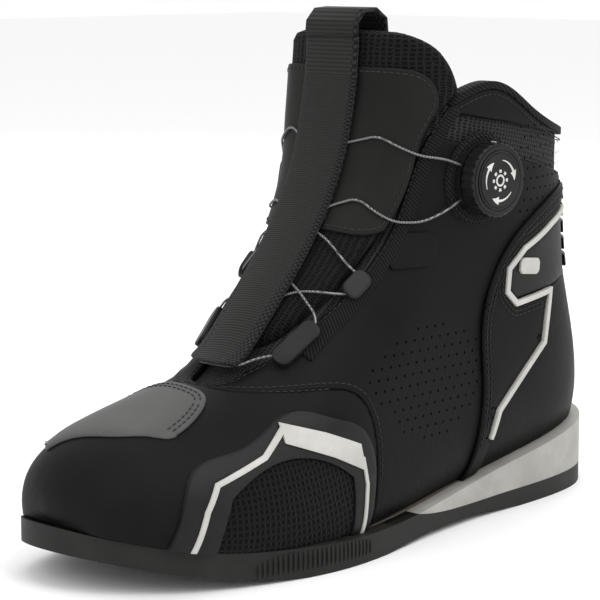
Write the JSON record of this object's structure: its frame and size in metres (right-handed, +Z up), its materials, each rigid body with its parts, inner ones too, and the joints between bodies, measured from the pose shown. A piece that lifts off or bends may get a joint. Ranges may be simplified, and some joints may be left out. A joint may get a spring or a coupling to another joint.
{
  "type": "motorcycle riding boot",
  "caption": "Ankle-high motorcycle riding boot for the left foot, with a dial and wire lace closure, toe shift pad, moulded ankle and side armour and a white heel wedge.",
  "frame": {"origin": "on the floor, under the middle of the boot's bounding box", "axes": "+X to the toe, +Y to the outer side of the left foot, +Z up"},
  "size_m": [0.299, 0.1084, 0.2178],
  "materials": {
    "leather": "matte full-grain, charcoal black",
    "facing_leather": "matte synthetic leather, lighter charcoal",
    "air_mesh": "open hexagonal air mesh",
    "black_textile": "knitted binding tape",
    "webbing": "ribbed polyester webbing",
    "lining_textile": "brushed textile lining",
    "foam_eva": "closed-cell foam",
    "board": "fibre board and thermoplastic stiffener",
    "sole_rubber": "matte moulded rubber",
    "grip_rubber": "fine-ribbed rubber",
    "moulded_tpu": "satin moulded polyurethane",
    "white_tpu": "warm white moulded polyurethane",
    "dial_plastic": "satin glass-filled nylon",
    "steel": "plain steel",
    "steel_wire": "coated stranded stainless wire"
  },
  "bodies": {
    "boot": {"ankle_badge": "white_tpu", "ankle_cup_lateral": "board", "ankle_cup_medial": "board", "ankle_inset_lateral": "moulded_tpu", "ankle_inset_medial": "moulded_tpu", "ankle_plate_lateral": "moulded_tpu", "ankle_plate_medial": "moulded_tpu", "ankle_stripe_lateral": "white_tpu", "ankle_stripe_medial": "white_tpu", "collar_binding": "black_textile", "collar_foam": "foam_eva", "dial_base": "dial_plastic", "dial_flange": "black_textile", "dial_ratchet_ring": "dial_plastic", "dial_screw": "steel", "flex_ribs": "moulded_tpu", "footbed": "lining_textile", "heel_counter_cover": "leather", "heel_pull_loop": "webbing", "heel_stiffener": "board", "heel_wedge": "white_tpu", "insole_board": "board", "lace": "steel_wire", "lace_guide_lower_lateral": "moulded_tpu", "lace_guide_lower_medial": "moulded_tpu", "lace_guide_middle_lateral": "moulded_tpu", "lace_guide_middle_medial": "moulded_tpu", "lace_guide_upper_medial": "moulded_tpu", "lace_tab": "leather", "liner": "lining_textile", "midsole": "foam_eva", "outsole": "sole_rubber", "quarter_lateral": "leather", "quarter_medial": "leather", "rear_flex_panel": "leather", "shank": "steel", "shift_pad": "grip_rubber", "side_mesh_lateral": "air_mesh", "side_mesh_medial": "air_mesh", "side_panel_lateral": "moulded_tpu", "side_panel_medial": "moulded_tpu", "side_stripe_lateral": "white_tpu", "side_stripe_medial": "white_tpu", "throat_binding_lateral": "black_textile", "throat_binding_medial": "black_textile", "toe_puff": "board", "tongue_gusset_lateral": "black_textile", "tongue_gusset_medial": "black_textile", "vamp": "leather"},
    "tongue": {"tongue_facing_lateral": "facing_leather", "tongue_facing_medial": "facing_leather", "tongue_pad": "air_mesh", "tongue_strap": "webbing", "tongue_strap_fold": "webbing"},
    "spool": {"dial_spool": "dial_plastic"},
    "knob": {"dial_knob": "dial_plastic", "dial_pawl": "dial_plastic", "dial_cap": "dial_plastic"}
  },
  "joints": [
    {"name": "tongue_tilt", "type": "hinge", "parent": "boot", "child": "tongue", "pos_m": [0.08147, -0.00189, 0.07], "axis": [0, 1, 0], "range_deg": [0, 16], "deforming": ["lace", "tongue_gusset_lateral", "tongue_gusset_medial"]},
    {"name": "spool_turn", "type": "hinge", "parent": "boot", "child": "spool", "pos_m": [-0.04153, 0.04161, 0.147], "axis": [0.0698, 0.9976, 0], "range_deg": [-1440, 360]},
    {"name": "knob_pull", "type": "slide", "parent": "spool", "child": "knob", "axis": [0.0698, 0.9976, 0], "range_m": [0, 0.0025]}
  ]
}
